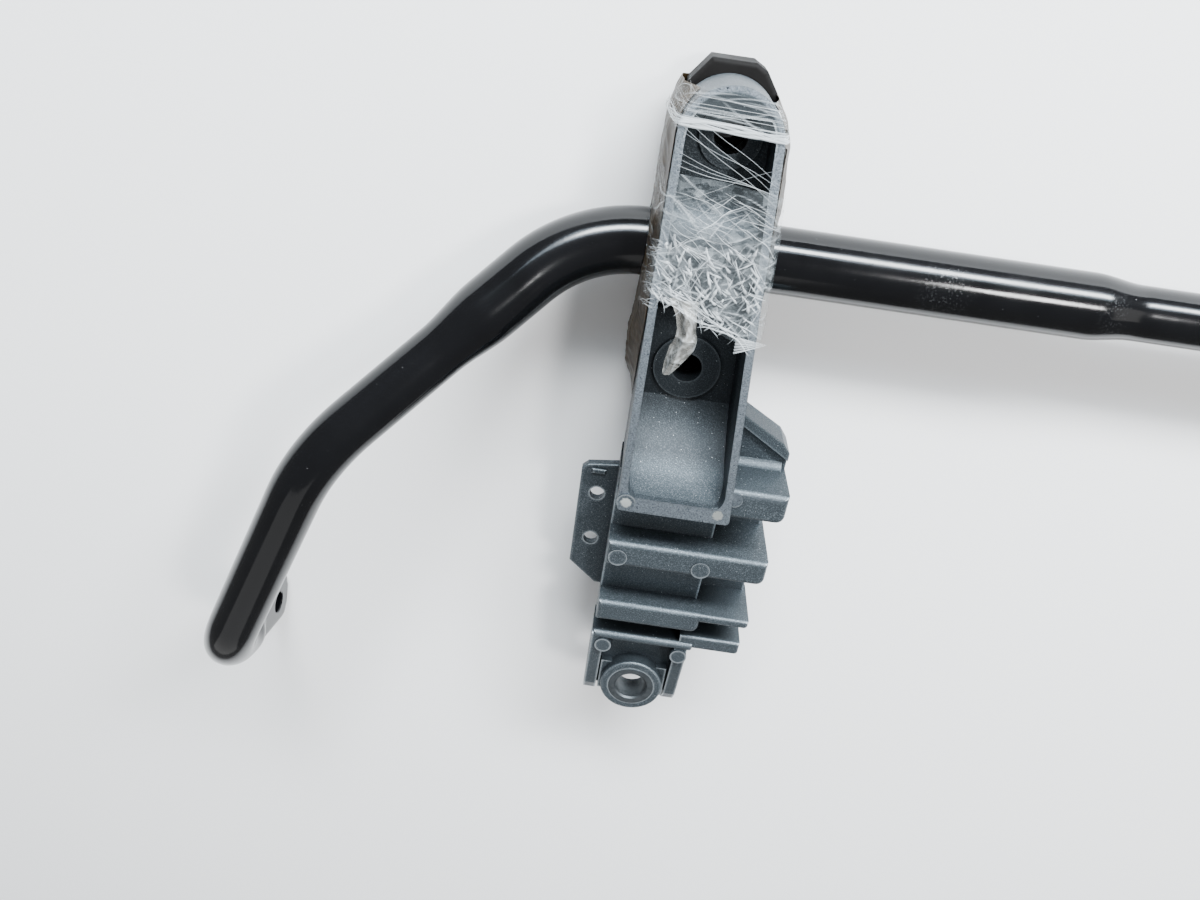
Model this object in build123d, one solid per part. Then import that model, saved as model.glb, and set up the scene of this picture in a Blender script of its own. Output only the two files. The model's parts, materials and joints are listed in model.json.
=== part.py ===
"""Sway bar (anti-roll bar) with its two mounting brackets, as delivered: each bracket is a die-cast
aluminium channel and a black rear clamp that hold a split rubber bush on the bar, kept together
with stretch film and brown packing tape.

Frame: X runs along the bar, Y up the brackets, Z up from the surface that the bar lies on.
The origin is under the middle of the assembly's box. Millimetres.
"""
from build123d import *
from math import cos, radians, sqrt, tan
import os

os.makedirs("parts", exist_ok=True)

# ---------------------------------------------------------------- driving dimensions
BUSH_SPACING = 700.0        # between the centres of the two bushes
BAR_OD = 30.0               # thick sections of the bar
THIN_OD = 25.0              # middle of the bar and the arms
TUBE_WALL = 4.0
BAR_HEIGHT = 28.0           # bar axis above the surface it lies on
SIDE_TAPER_START = 172.0    # inboard of the bush centre, where the thick section ends
SIDE_TAPER_LENGTH = 22.0

RUNNING_GAP = 0.05          # radial, bush to bar
SEAT_GAP = 0.05             # radial, bush to its housing
BUSH_OD = 44.0
SPLIT_GAP = 3.0             # casting to clamp, before the bolts pull them together
BOLT_OFFSET = 51.8          # bolt hole to bar axis, along the bracket
BOLT_HOLE_R = 7.0

CHANNEL_LEFT = -22.8        # outboard wall of the casting, from the bush centre
CHANNEL_WALL = 3.5
CREST_R = 2.4                # rounding along the crests of the cross ribs
RIM_TOP_Y = 60.0
RIM_TOP_Z = 37.0
RIM_FOOT_Y = -109.5
RIM_FOOT_Z = 53.0
CLAMP_TOP_Y = 78.5
BLOCK_LEFT = -23.6          # outboard side of the ribbed lower half
BLOCK_RIGHT = 53.8          # inboard ends of the cross ribs

EYE_CENTRE = (1.5, -239.6)
EYE_R = 17.0
EYE_FRONT_Z = 29.0
EYE_BACK_Z = 14.0
EYE_INSERT_R = 12.4
EYE_BORE_R = 8.4

# Arm corners, from the bush centre of the left side, and the bend radius at each.
ARM_CORNERS = [(-56.4, 0.0, 0.0), (-161.3, -102.0, 58.6), (-212.6, -229.8, 61.9)]
ARM_BENDS = [68.0, 90.0, 38.0]
ARM_END_DIRECTION = (-0.04, -0.29, -0.956)
ARM_TAPER_START = 54.0      # after the first corner
ARM_TAPER_LENGTH = 29.0
PADDLE_LENGTH = 36.0        # flat part of the arm's end
PADDLE_WIDTH = 30.0
PADDLE_THICKNESS = 11.0
PADDLE_HOLE_R = 6.2
PADDLE_TIP_CORNER = 6.0
PADDLE_HOLE_SETBACK = 15.0  # hole centre from the tip
PRESS_LENGTH = 24.0         # round tube to flat paddle

BAR_R = BAR_OD / 2
THIN_R = THIN_OD / 2
CASTING_BACK = SPLIT_GAP / 2
CLAMP_FRONT = -SPLIT_GAP / 2


# ---------------------------------------------------------------- small helpers
def block(x0, x1, y0, y1, z0, z1):
    """A box from its two corners."""
    return Pos((x0 + x1) / 2, (y0 + y1) / 2, (z0 + z1) / 2) * Box(x1 - x0, y1 - y0, z1 - z0)


def slab(points, z0, z1):
    """A plan outline raised from z0 to z1."""
    return Pos(0, 0, z0) * extrude(make_face(Polyline(*points, close=True)), z1 - z0)


def side_slab(points, x0, x1):
    """A side outline, given as (y, z) points, drawn out along X from x0 to x1."""
    face = make_face(Polyline(*[(x0, y, z) for y, z in points], close=True))
    return extrude(face, amount=x1 - x0, dir=(1, 0, 0))


def post(x, y, radius, z0, z1):
    """A round post along Z."""
    return Pos(x, y, (z0 + z1) / 2) * Cylinder(radius, z1 - z0)


def along_bar(radius, x0, x1):
    """A cylinder on the bar's axis."""
    return Pos((x0 + x1) / 2, 0, 0) * Rot(0, 90, 0) * Cylinder(radius, x1 - x0)


def between(start, end, r0, r1):
    """A round length of bar, straight or tapered, from one point to another."""
    direction = end - start
    plane = Plane(origin=start, z_dir=direction)
    if abs(r0 - r1) < 1e-6:
        return plane * (Pos(0, 0, direction.length / 2) * Cylinder(r0, direction.length))
    return plane * (Pos(0, 0, direction.length / 2) * Cone(r0, r1, direction.length))


def softened(part, edges, radius):
    """Round the given edges, or step the radius down until the shape allows it."""
    for factor in (1.0, 0.7, 0.4):
        try:
            rounded = fillet(edges, radius * factor)
        except Exception:
            continue
        if rounded.is_valid and rounded.volume > 0.8 * part.volume:
            return rounded
    return part


def edges_at(part, z, tolerance=0.05, keep=lambda edge: True):
    """The part's level edges at one height that pass a test."""
    found = part.edges().filter_by(lambda e: e.bounding_box().size.Z < tolerance)
    return found.filter_by(lambda e: abs(e.center().Z - z) < tolerance and keep(e))


def rim_z(y):
    """Height of the sloping channel rim at a station along the bracket."""
    return RIM_TOP_Z + (RIM_FOOT_Z - RIM_TOP_Z) * (RIM_TOP_Y - y) / (RIM_TOP_Y - RIM_FOOT_Y)


# ---------------------------------------------------------------- the bar
def arm_run():
    """Straight runs and bends of the left arm, from the bush centre to the start of the flat end."""
    corners = [Vector(*p) for p in ARM_CORNERS]
    end_dir = Vector(*ARM_END_DIRECTION).normalized()
    half_width = PADDLE_WIDTH / 2
    # The flat end stops where its lower corner just touches the surface below.
    reach = (corners[-1].Z + BAR_HEIGHT - half_width * sqrt(1 - end_dir.Z ** 2)) / -end_dir.Z
    tip = corners[-1] + end_dir * reach
    route = [Vector(0, 0, 0)] + corners + [tip]
    bends = []
    for i, radius in enumerate(ARM_BENDS, start=1):
        incoming = (route[i] - route[i - 1]).normalized()
        outgoing = (route[i + 1] - route[i]).normalized()
        turn = radians(incoming.get_angle(outgoing))
        setback = radius * tan(turn / 2)
        start = route[i] - incoming * setback
        finish = route[i] + outgoing * setback
        inward = (outgoing - incoming).normalized()
        middle = route[i] + inward * (radius / cos(turn / 2) - radius)
        bends.append((start, middle, finish))
    return route, bends, end_dir, tip


def bend(points, radius):
    """A round bend through three points."""
    arc = ThreePointArc(*points)
    section = Plane(origin=arc @ 0, z_dir=arc % 0) * Circle(radius)
    return sweep(section, path=arc)


def half_bar(shrink, flat_end):
    """The left half of the bar, with every radius reduced by shrink; the flat end is optional."""
    thick = BAR_R - shrink
    thin = THIN_R - shrink
    route, bends, end_dir, tip = arm_run()
    second_dir = (route[2] - route[1]).normalized()
    taper_from = route[1] + second_dir * ARM_TAPER_START
    taper_to = taper_from + second_dir * ARM_TAPER_LENGTH
    press_from = tip - end_dir * (PADDLE_LENGTH + PRESS_LENGTH)
    press_to = tip - end_dir * PADDLE_LENGTH
    inboard = Vector(SIDE_TAPER_START, 0, 0)
    taper_inboard = inboard + Vector(SIDE_TAPER_LENGTH, 0, 0)
    middle = Vector(BUSH_SPACING / 2, 0, 0)
    pieces = [
        between(middle, taper_inboard, thin, thin),
        between(taper_inboard, inboard, thin, thick),
        between(inboard, bends[0][0], thick, thick),
        bend(bends[0], thick),
        between(bends[0][2], taper_from, thick, thick),
        between(taper_from, taper_to, thick, thin),
        between(taper_to, bends[1][0], thin, thin),
        bend(bends[1], thin),
        between(bends[1][2], bends[2][0], thin, thin),
        bend(bends[2], thin),
        between(bends[2][2], press_from, thin, thin),
    ]
    if flat_end:
        side = Vector(1, 0, 0) - end_dir * end_dir.X
        at_press = Plane(origin=press_from, x_dir=side, z_dir=end_dir)
        at_flat = Plane(origin=press_to, x_dir=side, z_dir=end_dir)
        corner = PADDLE_THICKNESS * 0.35
        flat = RectangleRounded(PADDLE_THICKNESS, PADDLE_WIDTH, corner)
        pieces.append(loft([at_press * Circle(thin), at_flat * flat]))
        paddle = extrude(at_flat * flat, amount=PADDLE_LENGTH, dir=end_dir)
        rounding = RectangleRounded(2 * PADDLE_LENGTH, PADDLE_WIDTH, PADDLE_TIP_CORNER)
        across = Plane(origin=press_to, x_dir=end_dir, z_dir=side)
        paddle = paddle & (across * extrude(rounding, amount=PADDLE_THICKNESS, both=True))
        hole_at = tip - end_dir * PADDLE_HOLE_SETBACK
        hole = Plane(origin=hole_at, z_dir=side) * Cylinder(PADDLE_HOLE_R, PADDLE_THICKNESS * 3)
        pieces.append(paddle - hole)
    whole = pieces[0]
    for piece in pieces[1:]:
        whole = whole + piece
    return whole


def bar():
    """The whole hollow bar, its two flat ends sealed."""
    left = half_bar(0, True) - half_bar(TUBE_WALL, False)
    left = Pos(-BUSH_SPACING / 2, 0, 0) * left
    return left + mirror(left, about=Plane.YZ)


# ---------------------------------------------------------------- the aluminium casting
CHANNEL_TOP_CENTRE = (-1.9, 53.0)
CHANNEL_TOP_R = 20.9


def channel_right(y):
    """Inboard face of the channel, which spreads towards the foot."""
    return 23.2 - 0.055 * y


def channel_plan(inset, foot):
    """Plan outline of the channel: two long sides, a round top end and a square foot."""
    x, y = CHANNEL_TOP_CENTRE
    radius = CHANNEL_TOP_R - inset
    low = foot + inset
    outline = [
        Line((CHANNEL_LEFT + inset, low), (CHANNEL_LEFT + inset, y)),
        ThreePointArc((CHANNEL_LEFT + inset, y), (x, y + radius), (x + radius, y)),
        Line((x + radius, y), (channel_right(low) - inset, low)),
        Line((channel_right(low) - inset, low), (CHANNEL_LEFT + inset, low)),
    ]
    face = make_face(Wire(outline))
    foot_corners = face.vertices().sort_by(Axis.Y)[:2]
    return fillet(foot_corners, 2.0 if inset == 0 else 8.0)


def channel():
    """The upper half: a deep channel that bridges the bush, with a boss round each bolt hole."""
    top = 90.0
    outer = Pos(0, 0, CASTING_BACK) * extrude(channel_plan(0, RIM_FOOT_Y), top)
    over_rim = side_slab([(100, rim_z(100)), (-140, rim_z(-140)), (-140, 120), (100, 120)], -60, 80)
    outer = outer - over_rim

    floor = 12.5
    arch = BUSH_OD / 2 + 6.0
    spring = sqrt(arch ** 2 - floor ** 2)
    hollow_line = [
        Line((0, 63, top), (0, 63, floor)),
        Line((0, 63, floor), (0, spring, floor)),
        ThreePointArc((0, spring, floor), (0, 0, arch), (0, -spring, floor)),
        Line((0, -spring, floor), (0, -68, floor)),
        ThreePointArc((0, -68, floor), (0, -87, 24.0), (0, -102, 49.0)),
        Line((0, -102, 49.0), (0, -104.5, top)),
        Line((0, -104.5, top), (0, 63, top)),
    ]
    side = make_face(Wire(hollow_line))
    hollow = extrude(side, amount=60, dir=(1, 0, 0), both=True)
    hollow = hollow & extrude(channel_plan(CHANNEL_WALL, RIM_FOOT_Y + 1.8), top)
    for sign, radius in ((1, 13.0), (-1, 15.6)):
        hollow = hollow - post(0, sign * BOLT_OFFSET, radius, 0, floor + 1.8)
    return outer, hollow


def ear():
    """Stiffening ear on the inboard side of the channel's foot, with a sloped gusset plate."""
    right = BLOCK_RIGHT
    wall = block(20, right, -106.5, -91.5, 14, 51)
    corner = wall.edges().filter_by(Axis.Z).sort_by(lambda e: e.center().X - e.center().Y)[-1:]
    wall = softened(wall, corner, 4.0)
    wall = softened(wall, edges_at(wall, 51.0, keep=lambda e: e.center().X > 30), CREST_R)
    gusset = slab([(22, -65), (29, -65), (50, -77), (right, -82), (right, -95), (22, -95)], 10, 24.5)
    lip = slab([(22, -65), (29, -65), (50, -77), (right, -82), (right, -86), (28, -70), (22, -70)], 24, 27)
    # A hollow rounding where the wall rises from the gusset.
    y, z, radius = -91.7, 24.3, 5.0
    root_line = [
        Line((30, y, z + radius), (30, y, z)),
        Line((30, y, z), (30, y + radius, z)),
        ThreePointArc((30, y + radius, z), (30, y + radius * 0.293, z + radius * 0.293), (30, y, z + radius)),
    ]
    root = extrude(make_face(Wire(root_line)), amount=right - 32, dir=(1, 0, 0))
    return wall, gusset + lip + root


RIBS = [
    # y of the upper face, y of the lower face, face height, inboard end, radius of the lower corner there
    (-133.4, -147.2, 45.0, BLOCK_RIGHT, 4.0),
    (-176.3, -188.7, 37.5, 29.0, 4.0),
    (-201.4, -206.6, 32.0, 29.5, 1.0),
]
PINS = [
    # x, y, radius of the ejector-pin marks, and the height of the face they stand on
    (-19.0, -105.0, 4.4, None),
    (23.5, -105.5, 4.2, 51.0),
    (29.5, -96.5, 3.6, 51.0),
    (-18.2, -142.0, 4.6, 45.0),
    (22.3, -142.6, 4.6, 45.0),
    (-17.6, -210.0, 4.4, 32.0),
    (23.0, -210.6, 4.4, 32.0),
]


def lower_block():
    """The stepped lower half: a box beam under cross ribs that step down towards the eye."""
    beam = side_slab([(-100, 6), (-100, 31), (-150, 29), (-190, 22), (-206, 20), (-206, 6)], BLOCK_LEFT, 27)
    apron = block(20, BLOCK_RIGHT - 1.5, -205, -95, 6, 11)
    return [beam, apron]


def rib(y_top, y_low, height, right, corner_radius):
    """One cross rib with a rounded crest and a rounded inboard corner."""
    body = block(BLOCK_LEFT, right, y_low, y_top, 6, height)
    corner = body.edges().filter_by(Axis.Z).sort_by(lambda e: e.center().X - e.center().Y)[-1:]
    body = softened(body, corner, corner_radius)
    return softened(body, edges_at(body, height), CREST_R)


def rib_end(x0, x1, y0, y1, height):
    """The narrower inboard end of a cross rib; its other end is buried in the rib."""
    body = block(x0, x1, y0, y1, 6, height)
    corner = body.edges().filter_by(Axis.Z).sort_by(lambda e: e.center().X - e.center().Y)[-1:]
    body = softened(body, corner, 2.0)
    return softened(body, edges_at(body, height, keep=lambda e: e.center().X > x0 + 1), 1.6)


def leg(x0, x1):
    """One of the two legs that carry the eye, sloping back to a rounded tip."""
    outline = [(-203, 7), (-203, 31.4), (-213, 31.4), (-246, 24), (-255, 18), (-255, 11), (-246, 7)]
    side = side_slab(outline, x0, x1)
    long_edges = side.edges().filter_by(Axis.X)
    return softened(side, long_edges, 2.5)


def eye():
    """The lug at the foot, with its round eye and the web between the legs."""
    x, y = EYE_CENTRE
    web = block(BLOCK_LEFT + 3, 24.0, -247, -204, 12, 21)
    ring = post(x, y, EYE_R, EYE_BACK_Z, EYE_FRONT_Z)
    ring = softened(ring, edges_at(ring, EYE_FRONT_Z), 1.2)
    neck = block(x - EYE_R - 1, x + EYE_R + 1, y - 8, y + 12, EYE_BACK_Z, 24.5)
    return web + neck + ring


def flange():
    """The thin side flange with its two small bolt holes and a raised lip at its top."""
    outline = [
        (-24, -112), (-38.8, -114), (-41.8, -117), (-41.8, -175), (-27, -187.5), (-21, -187.5),
        (-21, -112),
    ]
    plate = slab(outline, 4.5, 9.0)
    plate = softened(plate, edges_at(plate, 9.0), 1.0)
    lip = block(-36.5, -29.5, -118.6, -115.6, 8.5, 10.2)
    lip = softened(lip, edges_at(lip, 10.2), 1.0)
    return plate + lip


FLANGE_HOLES = [(-32.5, -130.5), (-32.5, -158.5)]
FLANGE_HOLE_R = 3.75


def casting():
    """The whole die-cast bracket."""
    wall, gusset = ear()
    outer, hollow = channel()
    part = outer + gusset + wall
    for piece in lower_block():
        part = part + piece
    for row in RIBS:
        part = part + rib(*row)
    part = part + rib_end(24, BLOCK_RIGHT, -181.5, -176.6, 37.2)
    part = part + rib_end(22, BLOCK_RIGHT, -205.0, -197.0, 30.8)
    part = part + leg(BLOCK_LEFT - 0.6, BLOCK_LEFT + 6.0)
    part = part + leg(20.5, 27.0)
    part = part + eye() + flange() - hollow
    for x, y, radius, height in PINS:
        top = rim_z(y) if height is None else height
        part = part + post(x, y, radius, top - 6, top + 0.5)
    # underside pockets that lighten the beam
    for y0, y1 in ((-128, -106), (-172, -134)):
        part = part - block(BLOCK_LEFT + 6, 21, y0, y1, 0, 17)

    part = part - along_bar(BUSH_OD / 2, -60, 60)
    for sign in (1, -1):
        part = part - post(0, sign * BOLT_OFFSET, BOLT_HOLE_R, -5, 40)
    for x, y in FLANGE_HOLES:
        part = part - post(x, y, FLANGE_HOLE_R, 0, 20)
    x, y = EYE_CENTRE
    return part - post(x, y, EYE_INSERT_R, 0, 50)


def eye_sleeve():
    """Steel sleeve pressed into the eye."""
    x, y = EYE_CENTRE
    part = post(x, y, EYE_INSERT_R, EYE_BACK_Z, EYE_FRONT_Z + 0.3) - post(x, y, EYE_BORE_R, 0, 50)
    mouth = part.edges().filter_by(GeomType.CIRCLE)
    mouth = mouth.filter_by(lambda e: abs(e.radius - EYE_BORE_R) < 0.01)
    return chamfer(mouth, 0.8)


# ---------------------------------------------------------------- clamp and bush
def rear_clamp():
    """The black rear half of the clamp: a saddle behind the bush and two faceted bolt lugs."""
    outline = [
        (-20.5, 68), (-12, CLAMP_TOP_Y), (6.5, CLAMP_TOP_Y), (11.5, 75.8), (18.2, 66.5), (21.5, 42),
        (21.5, -44), (18, -68), (7, -CLAMP_TOP_Y), (-13, -CLAMP_TOP_Y), (-25, -68), (-25.4, -46),
        (-22, -32), (-22, 34),
    ]
    plan = slab(outline, -BAR_HEIGHT, CLAMP_FRONT)
    lug = -22.0
    cut = 34.0
    side = side_slab([(90, -50), (90, lug), (cut, lug), (25, -BAR_HEIGHT), (25, -50)], -60, 60)
    other = side_slab([(-90, -50), (-90, lug), (-cut, lug), (-25, -BAR_HEIGHT), (-25, -50)], -60, 60)
    part = plan - side - other
    ends = part.edges().filter_by(lambda e: abs(e.center().Y) > 60 and e.bounding_box().size.Z < 0.1)
    part = softened(part, ends, 2.0)
    part = part - along_bar(BUSH_OD / 2, -60, 60)
    for sign in (1, -1):
        part = part - post(0, sign * BOLT_OFFSET, BOLT_HOLE_R, -60, 20)
    return part


BUSH_LEFT = -25.3
BUSH_RIGHT = 26.0


def bush_half(front):
    """One half of the split rubber bush, with a lip at each end that hugs the housing."""
    outer = BUSH_OD / 2 - SEAT_GAP
    lip = BUSH_OD / 2 + 2.6
    body = along_bar(outer, BUSH_LEFT, BUSH_RIGHT)
    body = body + along_bar(lip, BUSH_LEFT, CHANNEL_LEFT - 0.15)
    body = body + along_bar(lip, channel_right(0) + 1.5, BUSH_RIGHT)
    body = body - along_bar(BAR_R + RUNNING_GAP, -60, 60)
    slit = 0.15
    keep = block(-60, 60, -60, 60, slit, 60) if front else block(-60, 60, -60, 60, -60, -slit)
    return body & keep


# ---------------------------------------------------------------- packing
def film_band(y0, y1):
    """One turn of film: a sheet across the rims and a short skirt down each side."""
    thickness = 1.0
    skirt = 7.0
    left = CHANNEL_LEFT - 0.3
    right0 = channel_right(y0) + 0.4
    right1 = channel_right(y1) + 0.4
    outer0 = right0 + thickness
    outer1 = right1 + thickness
    across = slab([(left - thickness, y0), (outer0, y0), (outer1, y1), (left - thickness, y1)], 0, 80)
    between_skirts = slab([(left, y0 - 1), (right0, y0 - 1), (right1, y1 + 1), (left, y1 + 1)], 0, 80)
    low = [(y0, rim_z(y0)), (y1, rim_z(y1))]
    sheet = side_slab(low + [(y1, rim_z(y1) + thickness), (y0, rim_z(y0) + thickness)], -60, 60)
    deep = [(y0, rim_z(y0) - skirt), (y1, rim_z(y1) - skirt)]
    wrapped = side_slab(deep + [(y1, rim_z(y1) + thickness), (y0, rim_z(y0) + thickness)], -60, 60)
    return (across & sheet) + ((across & wrapped) - between_skirts)


def film_wrap():
    """Stretch film over the channel: a narrow turn at the top and a wide one across the bush."""
    return Compound(children=[film_band(59.5, 70.0), film_band(-24.0, 39.0)])


def film_tail():
    """The loose twisted end of the film, hanging down the channel."""
    return side_slab([(-50, 29), (-24.6, 41.6), (-24.6, 43.2), (-51, 30)], -15, -7.6)


def packing_tape():
    """Brown packing tape down the two sides of the clamp."""
    thickness = 1.2
    outboard = BUSH_LEFT - 1.2
    outer = block(outboard - thickness, outboard, -66, 72, -20, 24)
    inboard = BUSH_RIGHT + 0.3
    line = [(inboard, -40), (inboard, 27), (21.6, 66)]
    back = [(x + thickness, y) for x, y in reversed(line)]
    inner = slab(line + back, -20, 20)
    hole = along_bar(BAR_R + 2.0, -60, 60)
    return Compound(children=[outer - hole, inner - hole])


# ---------------------------------------------------------------- placing and writing
ARM_ROUTE = arm_run()
LOWEST_Y = ARM_ROUTE[3].Y - PADDLE_WIDTH / 2 * abs(ARM_ROUTE[2].Z)
BAR_Y = -(CLAMP_TOP_Y + LOWEST_Y) / 2


def write(part, name):
    export_step(part, f"parts/{name}.step")


def write_pair(part, name):
    """Place a left-hand piece on its side of the bar, and its mirror image on the other."""
    left = Pos(-BUSH_SPACING / 2, BAR_Y, BAR_HEIGHT) * part
    write(left, f"{name}_left")
    write(mirror(left, about=Plane.YZ), f"{name}_right")


write(Pos(0, BAR_Y, BAR_HEIGHT) * bar(), "sway_bar")
write_pair(casting(), "bracket_casting")
write_pair(rear_clamp(), "rear_clamp")
write_pair(bush_half(True), "bush_front")
write_pair(bush_half(False), "bush_rear")
write_pair(eye_sleeve(), "eye_sleeve")
write_pair(film_wrap(), "film_wrap")
write_pair(film_tail(), "film_tail")
write_pair(packing_tape(), "packing_tape")
print("bar axis at y", round(BAR_Y, 3), "arm tip", ARM_ROUTE[3])
print("link hole", ARM_ROUTE[3] - ARM_ROUTE[2] * PADDLE_HOLE_SETBACK, "end direction", ARM_ROUTE[2])
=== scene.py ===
"""Sway bar with two wrapped mounting brackets: looks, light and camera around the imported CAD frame.

The world is in metres, in the part's own frame: X along the bar, Y up the brackets, Z up from the floor.
Shapes are worked out in millimetres from the left bush centre and mirrored for the right-hand side.
"""

import json
from math import cos, pi, radians, sin, sqrt, tan

import bmesh
import bpy
import numpy as np
from mathutils import Matrix, Vector


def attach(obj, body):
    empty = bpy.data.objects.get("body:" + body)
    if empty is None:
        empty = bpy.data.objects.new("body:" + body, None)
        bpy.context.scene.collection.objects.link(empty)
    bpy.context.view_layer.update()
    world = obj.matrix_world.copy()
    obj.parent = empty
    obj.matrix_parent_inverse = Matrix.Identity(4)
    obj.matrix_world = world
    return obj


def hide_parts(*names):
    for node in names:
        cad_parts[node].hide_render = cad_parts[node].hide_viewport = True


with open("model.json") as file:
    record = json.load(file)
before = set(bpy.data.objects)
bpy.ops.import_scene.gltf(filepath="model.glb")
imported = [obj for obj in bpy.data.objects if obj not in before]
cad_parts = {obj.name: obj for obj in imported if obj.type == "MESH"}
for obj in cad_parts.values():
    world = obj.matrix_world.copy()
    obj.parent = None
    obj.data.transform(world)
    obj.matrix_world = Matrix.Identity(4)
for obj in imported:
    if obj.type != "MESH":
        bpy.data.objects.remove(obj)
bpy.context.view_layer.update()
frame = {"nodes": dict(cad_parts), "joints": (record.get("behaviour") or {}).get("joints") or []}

MM = 0.001
SIDES = ("left", "right")

# ---------------------------------------------------------------- where things are, from the frame
JOINT = {j["child"]: Vector(j["pos_m"]) for j in frame["joints"]}
BUSH = {side: JOINT[f"bracket_{side}"] for side in SIDES}
BUSH_X = BUSH["right"].x
AXIS_Y = BUSH["left"].y
AXIS_Z = BUSH["left"].z

# The casting's channel, in millimetres from the bush centre
CHANNEL_LEFT = -22.8
CHANNEL_TOP_X = -1.9
CHANNEL_TOP_Y = 53.0
CHANNEL_TOP_R = 20.9
RIM_TOP_Y = 60.0
RIM_TOP_Z = 37.0
RIM_SLOPE = 16.0 / 169.5


def rim_z(y):
    """Height of the channel's sloping rim."""
    return RIM_TOP_Z + RIM_SLOPE * (RIM_TOP_Y - y)


def round_end(y):
    """Half width of the channel's round top end."""
    return np.sqrt(np.maximum(CHANNEL_TOP_R ** 2 - np.maximum(y - CHANNEL_TOP_Y, 0) ** 2, 9.0))


def left_edge(y):
    return np.where(y < CHANNEL_TOP_Y, CHANNEL_LEFT, CHANNEL_TOP_X - round_end(y))


def right_edge(y):
    return np.minimum(23.2 - 0.055 * y, np.where(y < CHANNEL_TOP_Y, 99.0, CHANNEL_TOP_X + round_end(y)))


# ---------------------------------------------------------------- camera
def make_camera():
    """Close above the left bracket, tipped 30 degrees back from square to it and rolled a little."""
    tilt = radians(30.0)
    roll = radians(8.375)
    distance = 0.4029           # bar axis to camera, along the view
    bar_above = 0.0955          # bar axis above the middle of the view
    outboard = 0.0341           # camera outboard of the left bush
    toward = Vector((0, sin(tilt), cos(tilt)))
    up = Vector((0, cos(tilt), -sin(tilt)))
    along = Vector((1, 0, 0))
    right = along * cos(roll) + up * sin(roll)
    top = up * cos(roll) - along * sin(roll)
    place = BUSH["left"] - along * outboard + toward * distance - up * bar_above
    data = bpy.data.cameras.new("camera")
    data.lens = 27.03
    data.sensor_width = 36.0
    data.clip_start = 0.01
    data.clip_end = 50.0
    data.dof.use_dof = False
    camera = bpy.data.objects.new("camera", data)
    camera.matrix_world = Matrix((
        (right.x, top.x, toward.x, place.x),
        (right.y, top.y, toward.y, place.y),
        (right.z, top.z, toward.z, place.z),
        (0, 0, 0, 1),
    ))
    bpy.context.scene.collection.objects.link(camera)
    bpy.context.scene.camera = camera


make_camera()


# ---------------------------------------------------------------- light and floor
def area_light(name, place, aim, size, power, colour=(1, 1, 1)):
    data = bpy.data.lights.new(name, "AREA")
    data.shape = "RECTANGLE"
    data.size, data.size_y = size
    data.energy = power
    data.color = colour
    light = bpy.data.objects.new(name, data)
    light.location = place
    light.rotation_mode = "QUATERNION"
    light.rotation_quaternion = (Vector(aim) - Vector(place)).to_track_quat("-Z", "Y")
    bpy.context.scene.collection.objects.link(light)


def make_light():
    area_light("key", (0.1, 1.55, 0.95), (-0.1, 0.0, 0.0), (1.7, 0.3), 150, (0.95, 0.98, 1.0))
    area_light("halo", (0.1, 1.75, 1.08), (-0.1, 0.0, 0.0), (2.2, 0.8), 55, (0.7, 0.86, 1.0))
    area_light("overhead", (0.55, 0.55, 1.7), (-0.35, 0.0, 0.0), (0.3, 0.3), 26)
    area_light("side", (1.8, 0.2, 1.2), (0.0, 0.0, 0.0), (1.5, 1.5), 9, (1.0, 0.98, 0.95))
    area_light("front", (-0.9, -1.6, 1.3), (-0.2, 0.0, 0.0), (2.0, 2.0), 9)
    world = bpy.data.worlds.new("studio")
    bpy.context.scene.world = world
    world.use_nodes = True
    world.node_tree.nodes["Background"].inputs["Color"].default_value = (0.97, 0.98, 1.0, 1)
    world.node_tree.nodes["Background"].inputs["Strength"].default_value = 0.28


def make_floor():
    half = 6.0
    mesh = bpy.data.meshes.new("floor")
    corners = [(-half, -half, 0), (half, -half, 0), (half, half, 0), (-half, half, 0)]
    mesh.from_pydata(corners, [], [(0, 1, 2, 3)])
    floor = bpy.data.objects.new("floor", mesh)
    bpy.context.scene.collection.objects.link(floor)
    material = bpy.data.materials.new("floor")
    material.use_nodes = True
    material.node_tree.nodes["Principled BSDF"].inputs["Base Color"].default_value = (0.93, 0.93, 0.93, 1)
    material.node_tree.nodes["Principled BSDF"].inputs["Roughness"].default_value = 0.9
    mesh.materials.append(material)


make_light()
make_floor()


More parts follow.
